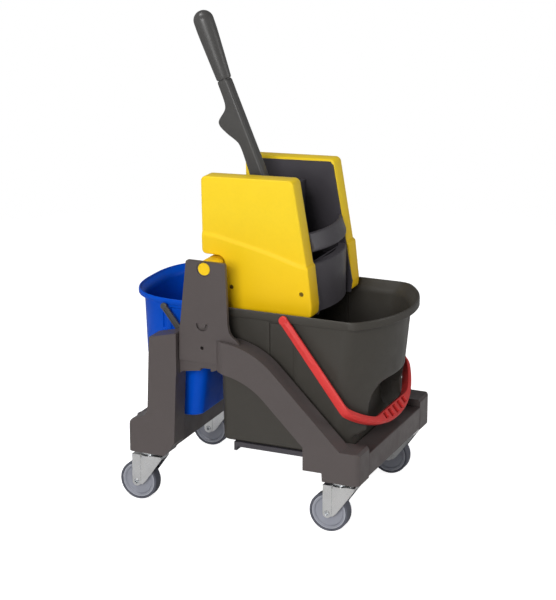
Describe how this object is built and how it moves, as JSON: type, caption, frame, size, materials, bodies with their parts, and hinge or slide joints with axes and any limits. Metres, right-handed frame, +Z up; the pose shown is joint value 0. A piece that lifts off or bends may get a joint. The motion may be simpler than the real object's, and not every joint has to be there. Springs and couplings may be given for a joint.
{
  "type": "mop bucket trolley",
  "caption": "Wheeled cleaning trolley with a large grey and a small blue bucket on an arched frame and a yellow-sided lever wringer over the large bucket.",
  "frame": {"origin": "on the floor under the middle of the trolley's box", "axes": "+X towards the round end of the large bucket, -Y towards the viewer's side, +Z up"},
  "size_m": [0.564, 0.4, 0.964],
  "materials": {
    "frame_plastic": "fine grain moulded plastic",
    "grey_bucket_plastic": "satin moulded plastic",
    "wringer_plastic": "satin moulded plastic",
    "yellow_plastic": "semi-gloss moulded plastic",
    "blue_plastic": "semi-gloss moulded plastic",
    "red_plastic": "semi-gloss moulded plastic",
    "lever_plastic": "satin moulded plastic",
    "zinc": "bright zinc plate",
    "steel": "bright steel",
    "hub_plastic": "smooth plastic",
    "tyre": "soft grey rubber"
  },
  "bodies": {
    "chassis": {"side_frame_near": "frame_plastic", "side_frame_far": "frame_plastic", "left_end_bar": "frame_plastic", "right_end_bar": "frame_plastic", "base_tray": "wringer_plastic", "upright_near": "frame_plastic", "upright_far": "frame_plastic", "upright_screws": "steel", "caster_stems": "steel", "grey_bucket": "grey_bucket_plastic", "wringer_body": "wringer_plastic", "fixed_jaw": "wringer_plastic", "front_lip": "wringer_plastic", "wringer_cover_near": "yellow_plastic", "wringer_cover_far": "yellow_plastic", "cover_screws": "steel", "trunnion_near": "yellow_plastic", "trunnion_far": "yellow_plastic", "shaft_bushes": "steel", "return_spring_near": "steel", "return_spring_far": "steel"},
    "blue_bucket": {"blue_bucket": "blue_plastic"},
    "dark_bail": {"dark_bail": "lever_plastic"},
    "red_bail": {"red_bail": "red_plastic"},
    "lever": {"lever_arm": "lever_plastic", "lever_grip": "lever_plastic", "lever_shaft": "steel", "sector_gear_near": "zinc", "sector_gear_far": "zinc"},
    "press": {"press_plate": "wringer_plastic", "rack_near": "wringer_plastic", "rack_far": "wringer_plastic"},
    "pin_near": {"lock_pin_near": "yellow_plastic"},
    "pin_far": {"lock_pin_far": "yellow_plastic"},
    "caster_near_left": {"fork_near_left": "zinc", "axle_near_left": "steel"},
    "wheel_near_left": {"hub_near_left": "hub_plastic", "tyre_near_left": "tyre"},
    "caster_near_right": {"fork_near_right": "zinc", "axle_near_right": "steel"},
    "wheel_near_right": {"hub_near_right": "hub_plastic", "tyre_near_right": "tyre"},
    "caster_far_left": {"fork_far_left": "zinc", "axle_far_left": "steel"},
    "wheel_far_left": {"hub_far_left": "hub_plastic", "tyre_far_left": "tyre"},
    "caster_far_right": {"fork_far_right": "zinc", "axle_far_right": "steel"},
    "wheel_far_right": {"hub_far_right": "hub_plastic", "tyre_far_right": "tyre"}
  },
  "joints": [
    {"name": "lever_pull", "type": "hinge", "parent": "chassis", "child": "lever", "pos_m": [-0.013, 0, 0.561], "axis": [0, -1, 0], "range_deg": [0, 65], "stiffness_Nm_per_rad": 2, "springref_deg": -34.38},
    {"name": "press_slide", "type": "slide", "parent": "chassis", "child": "press", "axis": [1, 0, 0], "range_m": [0, 0.0682]},
    {"name": "red_bail_swing", "type": "hinge", "parent": "chassis", "child": "red_bail", "pos_m": [0.078, 0, 0.407], "axis": [0, -1, 0], "range_deg": [0, 120]},
    {"name": "blue_bucket_draw", "type": "slide", "parent": "chassis", "child": "blue_bucket", "axis": [-1, 0, 0], "range_m": [0, 0.25]},
    {"name": "dark_bail_swing", "type": "hinge", "parent": "blue_bucket", "child": "dark_bail", "pos_m": [-0.18, 0, 0.403], "axis": [0, -1, 0], "range_deg": [0, 8]},
    {"name": "pin_near_push", "type": "slide", "parent": "chassis", "child": "pin_near", "axis": [0, 1, 0], "range_m": [0, 0.014], "stiffness_N_per_m": 600, "springref_m": -0.01},
    {"name": "pin_far_push", "type": "slide", "parent": "chassis", "child": "pin_far", "axis": [0, -1, 0], "range_m": [0, 0.014], "stiffness_N_per_m": 600, "springref_m": -0.01},
    {"name": "swivel_near_left", "type": "hinge", "parent": "chassis", "child": "caster_near_left", "pos_m": [-0.206, -0.166, 0.095], "axis": [0, 0, 1], "continuous": true},
    {"name": "spin_near_left", "type": "hinge", "parent": "caster_near_left", "child": "wheel_near_left", "pos_m": [-0.23, -0.166, 0.04], "axis": [0, 1, 0], "continuous": true},
    {"name": "swivel_near_right", "type": "hinge", "parent": "chassis", "child": "caster_near_right", "pos_m": [0.206, -0.166, 0.095], "axis": [0, 0, 1], "continuous": true},
    {"name": "spin_near_right", "type": "hinge", "parent": "caster_near_right", "child": "wheel_near_right", "pos_m": [0.182, -0.166, 0.04], "axis": [0, 1, 0], "continuous": true},
    {"name": "swivel_far_left", "type": "hinge", "parent": "chassis", "child": "caster_far_left", "pos_m": [-0.206, 0.166, 0.095], "axis": [0, 0, 1], "continuous": true},
    {"name": "spin_far_left", "type": "hinge", "parent": "caster_far_left", "child": "wheel_far_left", "pos_m": [-0.23, 0.166, 0.04], "axis": [0, 1, 0], "continuous": true},
    {"name": "swivel_far_right", "type": "hinge", "parent": "chassis", "child": "caster_far_right", "pos_m": [0.206, 0.166, 0.095], "axis": [0, 0, 1], "continuous": true},
    {"name": "spin_far_right", "type": "hinge", "parent": "caster_far_right", "child": "wheel_far_right", "pos_m": [0.182, 0.166, 0.04], "axis": [0, 1, 0], "continuous": true}
  ],
  "couplings": [
    {"joint": "press_slide", "follows": "lever_pull", "m_per_rad": 0.06}
  ]
}
